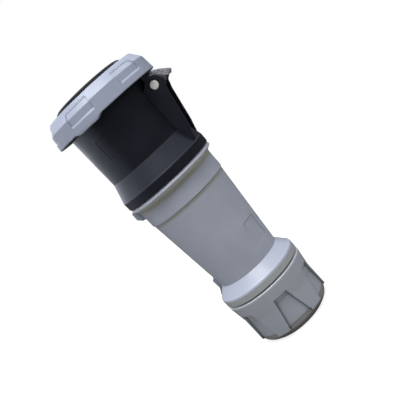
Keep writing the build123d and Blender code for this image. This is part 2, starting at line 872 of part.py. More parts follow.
coil_len = coil_pitch * coil_turns
with BuildPart() as lid_spring:
    with BuildLine() as coil_path:
        coil = Helix(
            pitch=coil_pitch,
            height=coil_len,
            radius=coil_r,
            center=(hinge_x, -coil_len / 2, hinge_z),
            direction=(0, 1, 0),
        )
    with BuildSketch(Plane(origin=coil @ 0, z_dir=coil % 0)):
        Circle(wire_r)
    sweep(path=coil_path.wires()[0], is_frenet=True)
    with BuildSketch(Plane.XY.offset(hinge_z - spring_leg)):
        with Locations((hinge_x - coil_r, (coil @ 0).Y)):
            Circle(wire_r)
    extrude(amount=spring_leg)
lid_spring.part.label = "lid_spring"

# Lid body: disc, skirt, arm with knuckles, thumb lever
disc_top = ring_front_z - ring_face - slide_gap
glide_z = disc_top - glide_h
disc_low = glide_z - lid_disc_h
face_z = disc_low + lid_face_deep
rim_mid = (front_r + collar_bore_r) / 2
seal_in = rim_mid - seal_half_w
seal_out = rim_mid + seal_half_w
hub_edge_r = hub_r - moulded_edge
arm_out_r = ring_in_r - arm_gap_out
skirt_out_r = skirt_in_r + skirt_wall
lever_dx = lever_tip_x - lever_root_x
lever_dz = lever_tip_z - lever_root_z
lever_len = sqrt(lever_dx ** 2 + lever_dz ** 2)
lever_under = (lever_tip_x + lever_dz / lever_len * lever_t, lever_tip_z - lever_dx / lever_len * lever_t)
cap_screw_spots = [
    polar_spot(cap_screws_r, cap_screws_turn + n * 360 / cap_screws) for n in range(cap_screws)
]

with BuildPart() as lid_body:
    add(
        turned([
            (0, face_z),
            (seal_in - lid_bead_w, face_z),
            (seal_in - lid_bead_w, disc_low - lid_bead_h),
            (seal_in, disc_low - lid_bead_h),
            (seal_in, disc_low),
            (skirt_in_r, disc_low),
            (skirt_in_r, skirt_low_z),
            (skirt_out_r, skirt_low_z),
            (skirt_out_r, glide_z - glide_edge),
            (lid_disc_r, glide_z),
            (hub_edge_r, glide_z),
            (hub_edge_r, disc_top),
            (0, disc_top),
        ])
    )
    # arm: a curved wall that passes between the housing and the ring
    with BuildPart(mode=Mode.PRIVATE) as arm:
        add(
            turned([
                (front_r + arm_gap_in, hinge_z - skirt_gap),
                (arm_out_r, hinge_z - skirt_gap),
                (arm_out_r, disc_low + moulded_edge),
                (skirt_out_r - turn_gap, glide_z - glide_edge),
                (skirt_in_r + turn_gap, glide_z - skirt_lap),
                (skirt_in_r, skirt_low_z),
            ])
        )
        with Locations((hinge_x, 0, hinge_z)):
            Box(hinge_x, 2 * arm_half, far_out, mode=Mode.INTERSECT)
    add(arm.part)
    # knuckles round the pin
    with BuildSketch(Plane.XZ):
        with Locations(hinge_spot):
            Circle(knuckle_r)
    extrude(amount=arm_half, both=True)
    # thumb lever with its webs
    with BuildSketch(Plane.XZ):
        with BuildLine():
            Polyline(
                (hinge_x - moulded_edge, lever_root_z - lever_heel),
                (hinge_x - moulded_edge, lever_root_z),
                (lever_root_x, lever_root_z),
                (lever_tip_x, lever_tip_z),
                lever_under,
                (lever_root_x, lever_root_z - lever_heel),
                close=True,
            )
        make_face()
    extrude(amount=lever_half, both=True)
    for across in (web_t / 2 - lever_half, 0, lever_half - web_t / 2):
        with BuildSketch(Plane.XZ.offset(across)):
            with BuildLine():
                Polyline(
                    (hinge_x + web_root_out, hinge_z + web_root_up),
                    (lever_under[0] - root, lever_under[1] + root),
                    (hinge_x + web_toe_out, hinge_z - web_toe_low),
                    (hinge_x + web_root_out, hinge_z - web_toe_low),
                    close=True,
                )
            make_face()
        extrude(amount=web_t / 2, both=True)
    # ribs across the lever for the thumb
    for step in range(rib_count):
        share = rib_from + step * rib_step
        with BuildSketch(Plane.XZ):
            with Locations((lever_root_x + share * lever_dx, lever_root_z + share * lever_dz)):
                Circle(rib_r)
        extrude(amount=lever_half - moulded_edge, both=True)
    # room for the coil and its leg, pin bore
    with BuildSketch(Plane.XZ):
        with Locations(hinge_spot):
            Circle(knuckle_r + knuckle_room)
            with Locations((-knuckle_r / 2, -knuckle_r / 2)):
                Rectangle(knuckle_r + spring_leg / 3, knuckle_r + spring_leg / 3)
    extrude(amount=knuckle_in, both=True, mode=Mode.SUBTRACT)
    with BuildSketch(Plane.XZ):
        with Locations(hinge_spot):
            Circle(pin_r + run_fit)
    extrude(amount=arm_half + cut_over, both=True, mode=Mode.SUBTRACT)
    # holes for the cap screws
    with BuildSketch(Plane.XY.offset(face_z)):
        with Locations(*cap_screw_spots):
            Circle(screw_r)
    extrude(amount=disc_top - face_z, mode=Mode.SUBTRACT)
lid_body.part.label = "lid_body"

# Lid cap: the domed disc that holds the ring on the lid
cap_low = ring_front_z + slide_gap
cap_edge_z = cap_low + cap_edge_h
shoulder_r = cap_r - cap_shoulder_w
shoulder_z = cap_edge_z + cap_shoulder_h
cap_top = shoulder_z + cap_rise
with BuildPart() as lid_cap:
    with BuildSketch(Plane.XZ):
        with BuildLine():
            Polyline(
                (0, cap_top),
                (0, disc_top),
                (hub_r, disc_top),
                (hub_r, cap_low),
                (cap_r - ring_edge, cap_low),
                (cap_r, cap_low + ring_edge),
                (cap_r, cap_edge_z),
            )
            # a flat crown, then a rounder shoulder that follows on from it
            crown = ThreePointArc(
                (0, cap_top), (shoulder_r / 2, cap_top - cap_rise / 4), (shoulder_r, shoulder_z)
            )
            TangentArc((shoulder_r, shoulder_z), (cap_r, cap_edge_z), tangent=crown % 1)
        make_face()
    revolve(axis=Axis.Z)
    with BuildSketch(Plane.XY.offset(disc_top)):
        with Locations(*cap_screw_spots):
            Circle(screw_r)
    extrude(amount=cap_screw_deep, mode=Mode.SUBTRACT)
lid_cap.part.label = "lid_cap"

lid_screws = head_screws(cap_screw_spots, face_z, disc_top - face_z + cap_screw_deep - turn_gap)
lid_screws.label = "lid_screws"

with BuildPart() as lid_seal:
    add(
        turned([
            (seal_in, disc_low),
            (seal_in, rim_z + seat_gap + edge_break),
            (seal_in + edge_break, rim_z + seat_gap),
            (seal_out - edge_break, rim_z + seat_gap),
            (seal_out, rim_z + seat_gap + edge_break),
            (seal_out, disc_low),
        ])
    )
lid_seal.part.label = "lid_seal"

with BuildPart() as ring_glide:
    add(
        turned([
            (hub_edge_r, glide_z),
            (skirt_in_r, glide_z),
            (skirt_in_r, disc_top),
            (hub_edge_r, disc_top),
        ])
    )
ring_glide.part.label = "ring_glide"

# Bayonet ring: coned front, six shallow pockets, two hooks inside their rear tabs
cone_slope = ring_cone_w / ring_cone_h
cone_deep = pocket_deep * sqrt(1 + cone_slope ** 2)
side_slope = ring_draft / (ring_edge_z - ring_back_z)


def cone_at(height):
    """Outer radius of the ring's coned front."""
    return ring_front_r + (ring_front_z - height) * cone_slope


def side_at(height):
    """Outer radius of the ring's side."""
    return ring_edge_r + (ring_edge_z - height) * side_slope


top_z = ring_front_z - pocket_top
low_z = ring_front_z - pocket_low
floor_top = (cone_at(top_z - pocket_ramp_top) - cone_deep, top_z - pocket_ramp_top)
floor_low = (side_at(low_z + pocket_ramp_low) - pocket_deep, low_z + pocket_ramp_low)
floor_bend = (ring_edge_r - pocket_deep, ring_edge_z - (cone_deep - pocket_deep) / cone_slope)
ramp_top = Vector(cone_at(top_z) - floor_top[0], pocket_ramp_top).normalized() * ring_in_r
ramp_low = Vector(side_at(low_z) - floor_low[0], -pocket_ramp_low).normalized() * ring_in_r

with BuildPart() as pocket_cut:
    with BuildSketch(Plane.XZ):
        with BuildLine():
            Polyline(
                floor_bend,
                floor_top,
                (floor_top[0] + ramp_top.X, floor_top[1] + ramp_top.Y),
                (floor_low[0] + ramp_low.X, floor_low[1] + ramp_low.Y),
                floor_low,
                close=True,
            )
        make_face()
    revolve(axis=Axis.Z, revolution_arc=2 * pocket_half)
    # the long straight edges are the two slopes at both ends of the cut
    ramp_edges = pocket_cut.edges().filter_by(GeomType.LINE).filter_by(
        lambda e: abs(e.length - ring_in_r) < same_place
    )
    fillet(ramp_edges, pocket_round)
pocket_mid = pocket_cut.part.center()
pocket_now = Vector(1, 0, 0).get_signed_angle(Vector(pocket_mid.X, pocket_mid.Y, 0), Vector(0, 0, 1))

# one tab with its hook, on +X: the tab narrows towards its end
with BuildPart() as tab:
    add(
        turned([
            (ring_in_r, ring_low + ring_edge),
            (ring_in_r + ring_edge, ring_low),
            (ring_back_r - ring_edge, ring_low),
            (ring_back_r, ring_low + ring_edge),
            (ring_back_r, ring_back_z + ring_edge),
            (ring_back_r - moulded_edge, ring_back_z + root),
            (ring_in_r + moulded_edge, ring_back_z + root),
            (ring_in_r, ring_back_z + edge_break),
        ])
    )
    with BuildSketch(Plane.YZ):
        tab_top_w = ring_back_r * sin(radians(tab_top_half))
        tab_low_w = ring_back_r * sin(radians(tab_low_half))
        with BuildLine():
            Polyline(
                (-tab_top_w, ring_back_z + root),
                (-tab_top_w, ring_back_z),
                (-tab_low_w, ring_low),
                (tab_low_w, ring_low),
                (tab_top_w, ring_back_z),
                (tab_top_w, ring_back_z + root),
                close=True,
            )
        make_face()
    extrude(amount=far_out, mode=Mode.INTERSECT)
    add(
        sector(
            [
                (front_r + hook_gap_in, ring_low + edge_break),
                (front_r + hook_gap_in + edge_break, ring_low),
                (ring_in_r + root, ring_low),
                (ring_in_r + root, ring_low + hook_h),
                (front_r + hook_gap_in, ring_low + hook_h),
            ],
            -tab_low_half,
            tab_low_half,
        )
    )

with BuildPart() as bayonet_ring:
    add(
        turned([
            (hub_r + slide_gap, ring_front_z - ring_face),
            (ring_front_r - ring_face * cone_slope, ring_front_z - ring_face),
            (ring_in_r, ring_edge_z + edge_break),
            (ring_in_r, ring_back_z + edge_break),
            (ring_in_r + edge_break, ring_back_z),
            (ring_back_r - ring_edge, ring_back_z),
            (ring_back_r, ring_back_z + ring_edge),
            (ring_edge_r, ring_edge_z),
            (ring_front_r, ring_front_z),
            (hub_r + slide_gap, ring_front_z),
        ])
    )
    for n in range(pocket_count):
        spin = pocket_turn - pocket_now + n * 360 / pocket_count
        add(pocket_cut.part.rotate(Axis.Z, spin), mode=Mode.SUBTRACT)
    for turn in (0, 180):
        add(tab.part.rotate(Axis.Z, tab_turn + turn))
bayonet_ring.part.label = "bayonet_ring"

# Gland nut: six tapered recesses, ribs that reach over the end ring
with BuildPart() as recess_cut:
    for half_angle, height in ((recess_top_half, recess_top), (recess_low_half, nut_end_z)):
        side_x = far_out * cos(radians(half_angle))
        side_y = far_out * sin(radians(half_angle))
        with BuildSketch(Plane.XY.offset(height)):
            with BuildLine():
                Polyline((0, 0), (side_x, side_y), (side_x, -side_y), close=True)
            make_face()
    loft(ruled=True)
    add(
        turned([
            (0, nut_end_z - cut_over),
            (recess_floor_r, nut_end_z - cut_over),
            (recess_floor_r, recess_top - recess_ramp),
            (recess_floor_r + recess_ramp / 5, recess_top - recess_ramp / 3),
            (recess_floor_r + recess_depth + nut_waist_add, recess_top + edge_break),
            (0, recess_top + edge_break),
        ]),
        mode=Mode.SUBTRACT,
    )

with BuildPart() as gland_nut:
    add(
        turned([
            (thread_r + turn_gap, nut_top),
            (nut_r - nut_round, nut_top),
            (nut_r, nut_top - nut_round),
            (nut_r, nut_top - nut_lip_h),
            (nut_low_r + nut_waist_add, recess_top),
            (nut_low_r, nut_waist_z),
            (nut_low_r, nut_end_z + ring_edge),
            (nut_low_r - ring_edge, nut_end_z),
            (nut_shoulder_r, nut_end_z),
            (nut_shoulder_r, end_ring_h),
            (end_plug_r, end_ring_h),
            (end_plug_r, end_ring_h + end_seat),
            (spigot_bore_r + edge_break, end_ring_h + end_seat + edge_break),
            (spigot_bore_r + edge_break, end_ring_h + end_seat + washer_h),
            (thread_r + turn_gap, spigot_low - 2 * moulded_edge),
        ])
    )
    recess_turns = [recess_turn + n * 360 / recess_count for n in range(recess_count)]
    for turn in recess_turns:
        add(recess_cut.part.rotate(Axis.Z, turn), mode=Mode.SUBTRACT)
        # the ribs between the recesses are cut free below the recess floors
        add(
            sector(
                [
                    (nut_shoulder_r - moulded_edge, nut_end_z - cut_over),
                    (nut_r + cut_over, nut_end_z - cut_over),
                    (nut_r + cut_over, end_ring_h),
                    (nut_shoulder_r - moulded_edge, end_ring_h),
                ],
                turn - recess_low_half,
                turn + recess_low_half,
            ),
            mode=Mode.SUBTRACT,
        )
    # notches in the front face for the lock
    notch = box_at(
        lock_in_r - 2 * slide_gap,
        lock_out_r + 2 * slide_gap,
        lock_half + 2 * slide_gap,
        nut_top - nut_notch,
        nut_top + cut_over,
    )
    for n in range(recess_count):
        add(notch.rotate(Axis.Z, n * 360 / recess_count), mode=Mode.SUBTRACT)
gland_nut.part.label = "gland_nut"

# End ring: the dark domed ring in the nut's mouth, with the cable opening
with BuildPart() as end_ring:
    with BuildSketch(Plane.XZ):
        with BuildLine():
            Polyline(
                (gland_end_r, edge_break),
                (gland_end_r - edge_break, 0),
                (gland_bore_r, 0),
                (gland_bore_r, end_ring_h - end_seat + moulded_edge),
                (gland_bore_r + end_wall, end_ring_h),
                (end_plug_r - end_wall, end_ring_h + end_seat),
                (end_plug_r, end_ring_h + end_seat),
                (end_plug_r, end_ring_h),
                (nut_shoulder_r, end_ring_h),
                (nut_shoulder_r, nut_end_z - moulded_edge),
            )
            ThreePointArc(
                (nut_shoulder_r, nut_end_z - moulded_edge),
                (end_round_r, end_round_z),
                (gland_end_r, edge_break),
            )
        make_face()
    revolve(axis=Axis.Z)
end_ring.part.label = "end_ring"

# Gland inside: seal, claw, washer
washer_low = end_ring_h + end_seat + slide_gap
claw_low = washer_low + washer_h
gland_seal_top = seal_top - slide_gap

# two grooves in the seal's bore let it close on the cable
seal_bore = []
for groove in (2, 1):
    groove_z = claw_top + groove * seal_len / 4
    seal_bore += [
        (gland_bore_r, groove_z + seal_mouth / 2),
        (gland_bore_r + seal_mouth / 2, groove_z),
        (gland_bore_r, groove_z - seal_mouth / 2),
    ]
with BuildPart() as gland_seal:
    add(
        turned(
            [
                (gland_bore_r, claw_top + seal_mouth),
                (gland_bore_r + seal_mouth, claw_top),
                (claw_r, claw_top),
                (claw_r, gland_seal_top),
                (gland_bore_r + seal_mouth, gland_seal_top),
                (gland_bore_r, gland_seal_top - seal_mouth),
            ]
            + seal_bore
        )
    )
gland_seal.part.label = "gland_seal"

with BuildPart() as clamp_claw:
    teeth = []
    for n in range(tooth_count):
        tooth_z = claw_low + tooth_h + n * tooth_pitch
        teeth += [
            (claw_bore_r, tooth_z),
            (claw_bore_r - tooth_depth, tooth_z + tooth_h * 3 / 4),
            (claw_bore_r, tooth_z + tooth_h),
        ]
    add(
        turned(
            [(claw_r, claw_top), (claw_bore_r, claw_top)]
            + teeth[::-1]
            + [(claw_bore_r, claw_low), (claw_r - tooth_h, claw_low), (claw_r, claw_low + tooth_h)]
        )
    )
    with BuildSketch(Plane.XY.offset(claw_low)):
        with PolarLocations(claw_r, claw_slots):
            Rectangle(2 * (claw_r - claw_bore_r) + cut_over, claw_slot_w)
    extrude(amount=claw_top - claw_low - claw_hoop, mode=Mode.SUBTRACT)
clamp_claw.part.label = "clamp_claw"

with BuildPart() as thrust_washer:
    add(
        turned([
            (claw_bore_r - washer_lap, washer_low),
            (claw_r, washer_low),
            (claw_r, claw_low),
            (claw_bore_r - washer_lap, claw_low),
        ])
    )
thrust_washer.part.label = "thrust_washer"

with BuildPart() as neck_seal:
    add(
        turned([
            (thread_r + turn_gap, flange_z - neck_seal_show),
            (thread_r + turn_gap + neck_seal_w, flange_z - neck_seal_show),
            (thread_r + turn_gap + neck_seal_w, flange_z + neck_seal_h - neck_seal_show),
            (thread_r + turn_gap, flange_z + neck_seal_h - neck_seal_show),
        ])
    )
neck_seal.part.label = "neck_seal"

# Housing latch and nut lock, both slide along the axis on the -X side
pad_top_z = seam_z - latch_pad_top
pad_low_z = seam_z - latch_pad_low
with BuildPart() as housing_latch:
    with BuildSketch(Plane.XZ):
        with BuildLine():
            Polyline(
                (-(latch_floor_r + slide_gap), seam_z - latch_low),
                (-(latch_floor_r + slide_gap), seam_z - slide_gap),
                (-latch_tongue_in, seam_z - slide_gap),
                (-latch_tongue_in, seam_z + latch_tongue_up),
                (-(latch_tongue_r - edge_break), seam_z + latch_tongue_up),
                (-latch_tongue_r, seam_z + latch_tongue_up - edge_break),
                (-latch_tongue_r, seam_z - edge_break),
                (-(lip_r + edge_break), pad_top_z + root),
                (-latch_pad_r, pad_top_z),
                (-latch_pad_r, pad_low_z),
                (-(latch_pad_r - latch_ramp), pad_low_z - latch_ramp),
                (-(band_r + slide_gap), pad_low_z - latch_ramp - edge_break),
                (-latch_foot_r, seam_z - latch_low),
                close=True,
            )
        make_face()
    extrude(amount=latch_half, both=True)
    pad_sides = housing_latch.edges().filter_by(
        lambda e: abs(abs(e.center().Y) - latch_half) < same_place and e.center().X < -lip_r
    )
    chamfer(pad_sides, ring_edge)
housing_latch.part.label = "housing_latch"

with BuildPart() as nut_lock:
    with BuildSketch(Plane.XZ):
        with BuildLine():
            Polyline(
                (-lock_in_r, flange_z + rim_edge),
                (-lock_out_r, flange_z + rim_edge),
                (-lock_out_r, lock_key_top),
                (-lock_in_r, lock_step_z),
                (-lock_pad_r, lock_top - moulded_edge),
                (-(lock_pad_r - moulded_edge), lock_top),
                (-(taper_at(lock_top) + lock_fit), lock_top),
                (-(neck_r + lock_fit), neck_z),
                (-(neck_r + slide_gap), lock_step_z),
                (-(lock_in_r - slide_gap), lock_step_z),
                close=True,
            )
        make_face()
    extrude(amount=lock_half, both=True)
nut_lock.part.label = "nut_lock"

nodes = [
    rear_housing.part,
    front_housing.part,
    housing_seal.part,
    contact_carrier.part,
    carrier_plate.part,
    contact_l1,
    contact_l2,
    contact_l3,
    contact_neutral,
    contact_earth,
    contact_pilot,
    terminal_screws.part,
    carrier_screws,
    hinge_pin.part,
    lid_spring.part,
    lid_body.part,
    lid_cap.part,
    lid_screws,
    lid_seal.part,
    ring_glide.part,
    bayonet_ring.part,
    gland_nut.part,
    end_ring.part,
    gland_seal.part,
    clamp_claw.part,
    thrust_washer.part,
    neck_seal.part,
    housing_latch.part,
    nut_lock.part,
]
for node in nodes:
    export_step(node, "parts/" + node.label + ".step")
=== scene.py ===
import json
from math import radians

import bpy
from mathutils import Euler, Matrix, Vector

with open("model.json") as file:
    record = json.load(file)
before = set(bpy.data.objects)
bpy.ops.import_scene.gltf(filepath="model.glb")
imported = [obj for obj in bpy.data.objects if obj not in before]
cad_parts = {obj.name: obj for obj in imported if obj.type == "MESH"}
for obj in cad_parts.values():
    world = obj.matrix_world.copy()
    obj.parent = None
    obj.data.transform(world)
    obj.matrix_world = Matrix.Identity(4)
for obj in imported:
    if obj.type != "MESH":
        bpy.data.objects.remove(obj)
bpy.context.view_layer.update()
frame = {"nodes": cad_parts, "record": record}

MM = 0.001

# Camera, found from the photo's circles
CAM_PLACE = (0.144019, -0.706259, 0.268817)
CAM_TURN = (78.6887, 42.1603, 3.3533)
CAM_LENS = 63.0
CAM_SENSOR = 36.0

# Light
SKY_LIGHT = 0.36
SKY_COLOUR = (0.96, 0.98, 1.0)
KEY_FROM = (0.05, -0.33, 0.94)
KEY_AWAY = 2.0
KEY_SIZE = 1.2
KEY_POWER = 62.0
KEY_COLOUR = (1.0, 0.99, 0.98)
LIGHT_AIM = Vector((0.0, 0.0, 0.16))

# Fill from the right and from the left, for matt surfaces only
RIGHT_SIDE = (0.80, 0.55, 0.10)
RIGHT_RANGE = (0.30, 1.0)
RIGHT_LIGHT = 1.75
LEFT_SIDE = (-0.98, -0.15, 0.10)
LEFT_RANGE = (0.30, 1.0)
LEFT_LIGHT = 0.74

# What shiny surfaces mirror: a bright wall on the left, a softbox overhead, a dark room
WALL_SIDE = (-0.93, 0.30, 0.10)
WALL_RANGE = (0.25, 0.90)
WALL_LIGHT = 1.5
CEILING_SIDE = (0.0, 0.0, 1.0)
CEILING_RANGE = (0.02, 0.60)
CEILING_LIGHT = 1.2
ROOM_LIGHT = 0.04
MIRROR_COLOUR = (0.84, 0.88, 1.0)

# Stage
FLOOR_SIZE = 8.0
FLOOR_TONE = (0.34, 0.32, 0.28)
FLOOR_ROUGH = 0.9
FLOOR_LIFT = 0.84
FLOOR_MIRRORED = 0.06

WHITE = (1.0, 1.0, 1.0)
BLACK = (0.0, 0.0, 0.0)

# The sRGB curve: where its straight part ends, how steep that is, and the rest's offset and power
SRGB_KNEE = 0.04045
SRGB_SLOPE = 12.92
SRGB_OFFSET = 0.055
SRGB_POWER = 2.4

# Places of a Mix node's colour sockets
MIX_INPUTS = (6, 7)
MIX_OUTPUT = 2

COLOURS = {
    "grey_housing": (149, 155, 171),
    "black_housing": (20, 22, 31),
    "ring_plastic": (140, 147, 165),
    "cap_plastic": (12, 12, 16),
    "lid_plastic": (72, 74, 80),
    "nut_plastic": (137, 143, 155),
    "latch_plastic": (140, 147, 162),
    "insert_plastic": (62, 64, 66),
    # The end ring's plastic, painted lighter than the insert plastic against its shade
    "end_plastic_painted_light": (112, 112, 114),
    "seal_rubber": (52, 52, 54),
    "contact_brass": (214, 178, 104),
    "screw_steel": (222, 222, 220),
}

# Pieces with a material of their own; the end ring's is a lighter copy of the insert plastic, painted
# light against the shade it sits in
OWN_MATERIALS = {"end_ring": "end_plastic_painted_light"}

# Bands on turned pieces, as a colour and two heights in mm; those on the housing, nut and ring are
# painted light and shade, and the end ring's band makes it darker at the bottom
# Housing: painted shade on the flange's side, the step and the lower cove, and a warm tone painted
# under the lip for the floor's bounce light
HOUSING_SHADING_BANDS = (
    ((142, 146, 150), 59.0, 66.6),
    ((140, 144, 145), 172.2, 175.6),
    ((137, 140, 139), 192.6, 197.0),
    ((158, 162, 163), 197.0, 200.0),
)
# Nut: its upper, downward-turned part painted lighter against its shade, and a painted highlight
# along the top chamfer
NUT_LIGHT_BANDS = (
    ((148, 154, 166), 35.0, 56.8),
    ((184, 190, 202), 56.9, 58.8),
)
# Ring: its side painted darker than the front cone, as painted shade
RING_SHADE_BANDS = (((132, 139, 157), 290.0, 310.7),)
END_BANDS = (((40, 40, 43), -1.0, 2.4),)
# Painted light on the sloped face at the front of the ring's pockets, which glows: the colour of its
# glow, two heights in mm, and how strong
POCKET_SLOPE_GLOW = ((222, 230, 250), 314.0, 317.6, 0.72)
# Light plate of the thumb lever: a colour, and two planes it lies beyond, in mm
LEVER_PLATE = ((150, 153, 160), ((0.6, 0.0, 0.8), 266.3), ((1.0, 0.0, 0.0), 58.5))
# How wide painted edges fade, and the normal's z where a face stops counting as facing down
PAINT_FADE = 0.1 * MM
DOWN_RANGE = (-0.2, -0.1)

# Noises: scale per metre, detail, roughness, and the range that counts
PATTERNS = {
    "blotch": (26.0, 4.0, 0.5, 0.35, 0.65),
    "wear": (60.0, 5.0, 0.6, 0.42, 0.62),
    "scuff": (150.0, 6.0, 0.75, 0.63, 0.72),
    "gloss": (45.0, 5.0, 0.65, 0.3, 0.7),
    "bloom": (70.0, 6.0, 0.7, 0.4, 0.75),
    "dust": (220.0, 3.0, 0.5, 0.3, 0.7),
    "stain": (120.0, 5.0, 0.6, 0.4, 0.7),
    "polish": (300.0, 4.0, 0.5, 0.3, 0.7),
}
# Specks are a noise's top, from each material's own start on
SPECK = (900.0, 2.0, 0.6)
SPECK_FADE = 0.16
SCUFF_STRETCH = (1.0, 1.0, 0.06)

# Bumps: scale per metre, detail, roughness, depth in mm, strength
WAVE = (90.0, 2.0, 0.5, 0.08, 0.15)
PORE = (1100.0, 3.0, 0.5, 0.08, 0.5)
MARK = (900.0, 3.0, 0.6, 0.04, 0.4)
# The grain's scale and depth are each plastic's own
GRAIN_DETAIL = 2.0
GRAIN_ROUGH = 0.55
GRAIN_STRENGTH = 0.35

# Edges and corners: samples, and the range of the measure that tells them from flats
EDGE_SAMPLES = 6
EDGE_RANGE = (0.995, 0.80)
CORNER_SAMPLES = 8
CORNER_RANGE = (0.35, 0.95)

# Worn places are the colour times a factor and plus a little; painted shade in corners is the colour
# times a tone
PALE_TIMES = 1.25
PALE_PLUS = 0.02
PAINTED_SHADE_TONE = 0.25

# Plastic; its roughness wanders down and up by so much
PLASTIC_IOR = 1.49
GLOSS_DOWN = 0.05
GLOSS_UP = 0.06

# Rubber: its range of roughness, edges rounded by so many mm, how much bloom, and the bloom's tone
RUBBER_ROUGH = (0.62, 0.82)
RUBBER_SOFT = 0.5
RUBBER_BLOOM = 0.5
BLOOM_TONE = 2.2

# Metal: edges rounded by so many mm, how much stain, its tone, and how far roughness wanders
METAL_SOFT = 0.25
METAL_STAIN = 0.55
STAIN_TONE = 0.62
POLISH_DOWN = 0.08
POLISH_UP = 0.14

# Moulded plastic, which each material changes where it differs; grain is per metre, and
# grain_depth, the reach of the painted corner shade and the edges' soft rounding are in mm
MOULDED = {
    "grain": 1400.0,
    "grain_depth": 0.05,
    "rough": 0.46,
    "spread": 0.06,
    "edge": 0.35,
    "scuffs": 0.25,
    # Painted shade in corners: how strong it is, and how far it reaches in mm
    "corner_shade": 0.5,
    "reach": 2.5,
    "mirror": 0.5,
    "tint": WHITE,
    "soft": 0.35,
    "speck_tone": 0.72,
    "speck_share": 0.35,
    "speck_from": 0.62,
    "bands": (),
    "slope": None,
    "plate": None,
}
PLASTICS = {
    "grey_housing": {"corner_shade": 0.2, "bands": HOUSING_SHADING_BANDS},
    "black_housing": {
        "rough": 0.34,
        "spread": 0.12,
        "edge": 0.10,
        "scuffs": 0.05,
        "tint": (0.86, 0.92, 1.0),
    },
    "ring_plastic": {
        "rough": 0.48,
        "corner_shade": 0.2,
        "mirror": 0.35,
        "soft": 1.0,
        "bands": RING_SHADE_BANDS,
        "slope": POCKET_SLOPE_GLOW,
    },
    "cap_plastic": {"rough": 0.5, "spread": 0.1, "edge": 0.1, "scuffs": 0.05, "mirror": 0.08},
    "lid_plastic": {
        "grain": 500.0,
        "grain_depth": 0.3,
        "rough": 0.42,
        "speck_tone": 0.6,
        "speck_share": 1.0,
        "speck_from": 0.46,
        "plate": LEVER_PLATE,
    },
    "nut_plastic": {"rough": 0.48, "corner_shade": 0.8, "reach": 4.0, "bands": NUT_LIGHT_BANDS},
    "latch_plastic": {"rough": 0.40},
    "insert_plastic": {"rough": 0.55},
    "end_plastic_painted_light": {"rough": 0.5, "bands": END_BANDS},
}
# Metals: roughness, stretch of the tool marks, share of metal
METALS = {
    "contact_brass": (0.26, (1.0, 1.0, 6.0), 0.9),
    "screw_steel": (0.42, (1.0, 4.0, 1.0), 0.3),
}


def linear(colour):
    """A colour given as sRGB, 0 to 255, in Blender's linear values."""
    parts = [c / 255 for c in colour]
    return tuple(
        p / SRGB_SLOPE if p <= SRGB_KNEE else ((p + SRGB_OFFSET) / (1 + SRGB_OFFSET)) ** SRGB_POWER
        for p in parts
    )


def shade(colour, by):
    """A linear colour made lighter or darker by a factor."""
    return tuple(c * by for c in colour)


